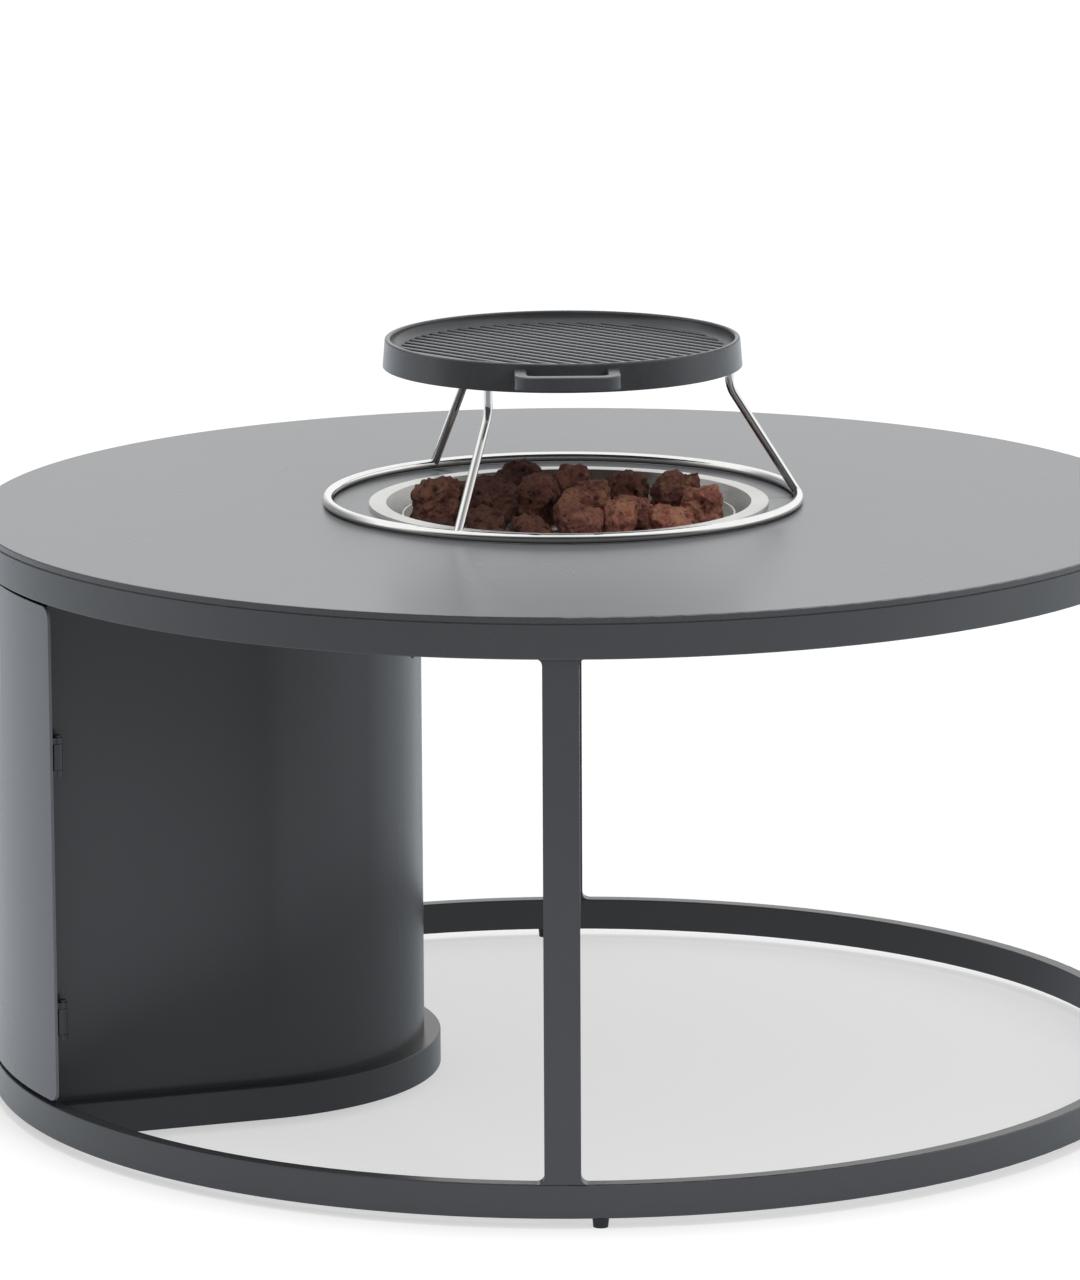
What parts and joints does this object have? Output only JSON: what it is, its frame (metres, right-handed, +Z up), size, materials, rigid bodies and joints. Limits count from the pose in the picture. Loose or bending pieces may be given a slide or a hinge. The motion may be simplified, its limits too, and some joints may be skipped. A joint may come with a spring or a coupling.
{
  "type": "gas fire pit table",
  "caption": "Round low gas fire pit table on a ring frame, with a curved gas bottle housing and door, a burner bowl with lava stones, and a loose wire stand that carries a cast grill plate.",
  "frame": {"origin": "on the floor, under the middle of the round tabletop", "axes": "+Z up, the bottle housing towards -X, the side with the door's hinges towards -Y"},
  "size_m": [0.9999, 1, 0.6353],
  "materials": {
    "frame_coat": "satin",
    "tabletop_coat": "satin",
    "housing_coat": "satin",
    "door_coat": "satin",
    "fastener_steel": "satin",
    "bowl_steel": "satin",
    "stand_wire": "polished",
    "plate_iron": "matte",
    "lava_stone": "matte",
    "fitting_brass": "satin",
    "black_plastic": "matte",
    "button_plastic": "gloss",
    "electrode_ceramic": "satin",
    "lead_rubber": "matte"
  },
  "bodies": {
    "table": {"base_ring": "frame_coat", "rim_ring": "frame_coat", "leg_front": "frame_coat", "leg_back": "frame_coat", "leg_right": "frame_coat", "support_bar_front": "frame_coat", "support_bar_back": "frame_coat", "tabletop": "tabletop_coat", "housing_floor": "housing_coat", "housing_wall": "housing_coat", "wall_top_brackets": "housing_coat", "wall_foot_brackets": "housing_coat", "hinge_block_lower": "housing_coat", "hinge_block_upper": "housing_coat", "hinge_pin_lower": "housing_coat", "hinge_pin_upper": "housing_coat", "control_panel": "housing_coat", "support_screws": "fastener_steel", "wall_bracket_screws": "fastener_steel", "panel_screws": "fastener_steel", "gas_pipe": "fastener_steel", "mixer_tube": "fastener_steel", "burner_bowl": "bowl_steel", "tray_posts": "bowl_steel", "ring_burner": "bowl_steel", "probe_bracket": "bowl_steel", "burner_nut": "fitting_brass", "burner_elbow": "fitting_brass", "gas_jet": "fitting_brass", "gas_valve": "fitting_brass", "valve_nut": "fitting_brass", "inlet_nozzle": "fitting_brass", "thermocouple": "fitting_brass", "thermocouple_lead": "fitting_brass", "foot_glides": "black_plastic", "igniter_body": "black_plastic", "igniter_nut": "black_plastic", "magnet_catch": "black_plastic", "spark_electrode": "electrode_ceramic", "ignition_lead": "lead_rubber"},
    "door": {"door_panel": "door_coat", "hinge_leaf_lower": "housing_coat", "hinge_leaf_upper": "housing_coat", "door_striker": "fastener_steel"},
    "valve_spindle": {"valve_spindle": "fastener_steel"},
    "control_knob": {"control_knob": "black_plastic"},
    "igniter_button": {"igniter_button": "button_plastic"},
    "lava_tray": {"lava_tray": "bowl_steel", "lava_rocks": "lava_stone"},
    "wire_stand": {"stand_base_ring": "stand_wire", "stand_top_ring": "stand_wire", "stand_leg_right": "stand_wire", "stand_leg_rear_left": "stand_wire", "stand_leg_front_left": "stand_wire"},
    "grill_plate": {"grill_plate": "plate_iron"}
  },
  "joints": [
    {"name": "door_hinge", "type": "hinge", "parent": "table", "child": "door", "pos_m": [-0.41496, -0.24885, 0.248], "axis": [0, 0, 1], "range_deg": [0, 110]},
    {"name": "knob_push", "type": "slide", "parent": "table", "child": "valve_spindle", "axis": [1, 0, 0], "range_m": [0, 0.005], "stiffness_N_per_m": 2000},
    {"name": "knob_turn", "type": "hinge", "parent": "valve_spindle", "child": "control_knob", "pos_m": [-0.424, -0.045, 0.377], "axis": [-1, 0, 0], "range_deg": [0, 210]},
    {"name": "igniter_press", "type": "slide", "parent": "table", "child": "igniter_button", "axis": [1, 0, 0], "range_m": [0, 0.005], "stiffness_N_per_m": 1500},
    {"name": "tray_lift", "type": "slide", "parent": "table", "child": "lava_tray", "axis": [0, 0, 1], "range_m": [0, 0.08]},
    {"name": "stand_lift", "type": "slide", "parent": "table", "child": "wire_stand", "axis": [0, 0, 1], "range_m": [0, 0.3]},
    {"name": "plate_lift", "type": "slide", "parent": "wire_stand", "child": "grill_plate", "axis": [0, 0, 1], "range_m": [0, 0.2]}
  ]
}
